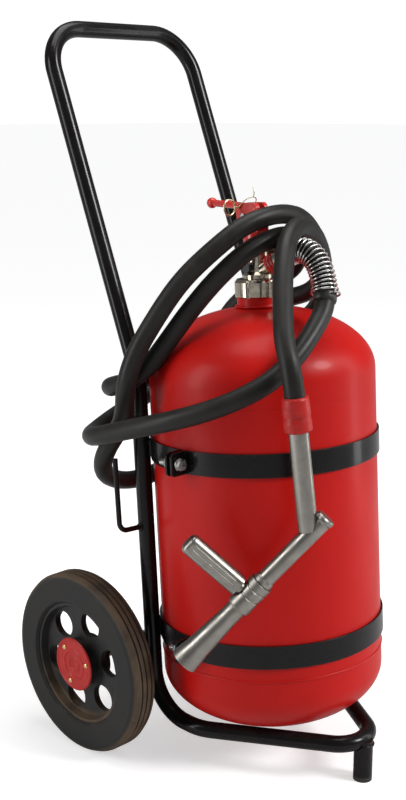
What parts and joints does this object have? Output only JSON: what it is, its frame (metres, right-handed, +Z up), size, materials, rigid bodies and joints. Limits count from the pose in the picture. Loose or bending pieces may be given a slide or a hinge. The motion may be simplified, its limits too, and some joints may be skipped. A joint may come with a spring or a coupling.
{
  "type": "wheeled fire extinguisher",
  "caption": "Wheeled dry-powder fire extinguisher: red pressure bottle strapped to a bent-tube cart with two wheels, a lever valve, coiled hose and shut-off gun.",
  "frame": {"origin": "on the floor under the middle of the cart and bottle, halfway between the wheels and halfway between the front foot and the top of the handle", "axes": "+X to the cart's left-to-right as seen from the front, along the axle; +Y to the back, towards the handle; +Z up"},
  "size_m": [0.4522, 0.4975, 0.977],
  "materials": {
    "bottle_red": "satin red powder coat",
    "frame_black": "gloss black enamel on bent steel tube",
    "zinc_fixings": "zinc plated fixings",
    "pad_rubber": "matt black rubber",
    "axle_steel": "plain steel bar",
    "tyre_rubber": "dusty black rubber",
    "wheel_plastic": "grained black plastic",
    "bush_plastic": "natural nylon",
    "cap_red": "moulded red plastic",
    "brass_screws": "yellow plated screws",
    "valve_nickel": "nickel plated brass",
    "black_plastic": "black plastic",
    "tube_steel": "drawn steel",
    "valve_red": "red lacquered casting",
    "pin_wire": "brassy steel wire",
    "dial_print": "printed gauge dial",
    "gauge_clear": "clear window",
    "gun_nickel": "satin nickel plated casting",
    "hose_rubber": "satin black braided rubber hose",
    "spring_zinc": "bright zinc plated spring wire"
  },
  "bodies": {
    "cart": {"bottle_barrel": "bottle_red", "bottle_bottom": "bottle_red", "bottle_top": "bottle_red", "neck_boss": "bottle_red", "lower_strap_front": "frame_black", "lower_strap_rear": "frame_black", "upper_strap_front": "frame_black", "upper_strap_rear": "frame_black", "handle_bow": "frame_black", "left_rail": "frame_black", "right_rail": "frame_black", "base_loop": "frame_black", "foot_leg": "frame_black", "axle_plates": "frame_black", "strap_saddles": "frame_black", "hose_hook": "frame_black", "strap_bolts": "zinc_fixings", "strap_nuts": "zinc_fixings", "foot_pad": "pad_rubber", "axle": "axle_steel", "axle_clips": "axle_steel", "axle_collars": "axle_steel", "ring_nut": "valve_nickel", "neck_seal": "pad_rubber", "valve_body": "valve_nickel", "relief_plug": "black_plastic", "dip_tube": "tube_steel", "valve_bonnet": "valve_red", "outlet_union": "valve_red", "hose_tail": "valve_nickel", "lever_pivot": "zinc_fixings", "gauge_case": "valve_nickel", "gauge_dial": "dial_print", "gauge_glass": "gauge_clear", "gun_barrel": "gun_nickel", "gun_inlet": "gun_nickel", "gun_ferrule": "cap_red", "gun_nozzle": "gun_nickel", "gun_ball": "tube_steel", "hose": "hose_rubber", "spring_guard": "spring_zinc"},
    "left_wheel": {"left_tyre": "tyre_rubber", "left_wheel_disc": "wheel_plastic", "left_bush": "bush_plastic", "left_hub_cap": "cap_red", "left_cap_screws": "brass_screws"},
    "right_wheel": {"right_tyre": "tyre_rubber", "right_wheel_disc": "wheel_plastic", "right_bush": "bush_plastic", "right_hub_cap": "cap_red", "right_cap_screws": "brass_screws"},
    "valve_lever": {"lever": "valve_red"},
    "stem": {"valve_stem": "tube_steel"},
    "pin": {"safety_pin": "pin_wire"},
    "needle": {"gauge_needle": "black_plastic"},
    "gun_valve": {"gun_sleeve": "gun_nickel", "gun_grip": "gun_nickel"}
  },
  "joints": [
    {"name": "left_wheel_spin", "type": "hinge", "parent": "cart", "child": "left_wheel", "pos_m": [-0.1975, 0.0927, 0.125], "axis": [1, 0, 0], "continuous": true},
    {"name": "right_wheel_spin", "type": "hinge", "parent": "cart", "child": "right_wheel", "pos_m": [0.1975, 0.0927, 0.125], "axis": [1, 0, 0], "continuous": true},
    {"name": "lever_lift", "type": "hinge", "parent": "cart", "child": "valve_lever", "pos_m": [0, -0.02235, 0.72549], "axis": [1, 0, 0], "range_deg": [0, 60]},
    {"name": "stem_push", "type": "slide", "parent": "cart", "child": "stem", "axis": [0, -0.0663, -0.9978], "range_m": [0, 0.006]},
    {"name": "pin_pull", "type": "slide", "parent": "cart", "child": "pin", "axis": [-1, 0, 0], "range_m": [0, 0.045]},
    {"name": "gauge_swing", "type": "hinge", "parent": "cart", "child": "needle", "pos_m": [0.0285, -0.03771, 0.67539], "axis": [1, 0, 0], "range_deg": [-60, 120]},
    {"name": "gun_turn", "type": "hinge", "parent": "cart", "child": "gun_valve", "pos_m": [-0.16007, -0.17785, 0.28763], "axis": [0.4786, -0.4786, 0.7361], "range_deg": [0, 90]}
  ],
  "couplings": [
    {"joint": "stem_push", "follows": "lever_lift", "m_per_rad": 0.00573}
  ]
}
